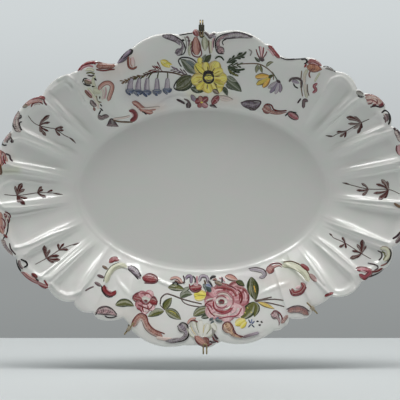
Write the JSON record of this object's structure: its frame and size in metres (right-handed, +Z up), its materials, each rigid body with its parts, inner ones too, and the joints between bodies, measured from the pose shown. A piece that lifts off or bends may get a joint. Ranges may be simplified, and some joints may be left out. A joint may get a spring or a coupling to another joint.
{
  "type": "serving platter",
  "caption": "Oval china serving platter with a scalloped, fluted rim and a foot ring, held in a sprung wire plate hanger with clawed wires and a hanging eye.",
  "frame": {"origin": "middle of the hanging eye in the upper wire, on the back of the platter, where a wall hook holds it", "axes": "+Z up as the platter hangs, +X to the right seen from the front, -Y out of the painted front towards the viewer"},
  "size_m": [0.4206, 0.048, 0.3354],
  "materials": {
    "white_glaze": "glossy white glaze over fired china, with flowers and scroll edges painted over it",
    "brassed_wire": "drawn wire with a thin dull brass plating",
    "spring_steel": "bright drawn spring wire",
    "vinyl": "dull dark flexible sleeve",
    "clear_vinyl": "yellowed, once clear flexible sleeve"
  },
  "bodies": {
    "hung_platter": {"platter": "white_glaze", "upper_wire": "brassed_wire", "leg_ferrule": "brassed_wire", "top_claw_sleeve": "vinyl", "left_spring": "spring_steel", "right_spring": "spring_steel"},
    "lower_claws": {"lower_wire": "brassed_wire", "left_claw_sleeve": "clear_vinyl", "right_claw_sleeve": "clear_vinyl"}
  },
  "joints": [
    {"name": "claw_draw", "type": "slide", "parent": "hung_platter", "child": "lower_claws", "axis": [0, 0, -1], "range_m": [0, 0.012], "stiffness_N_per_m": 600, "springref_m": -0.03, "deforming": ["left_spring", "right_spring"]}
  ]
}
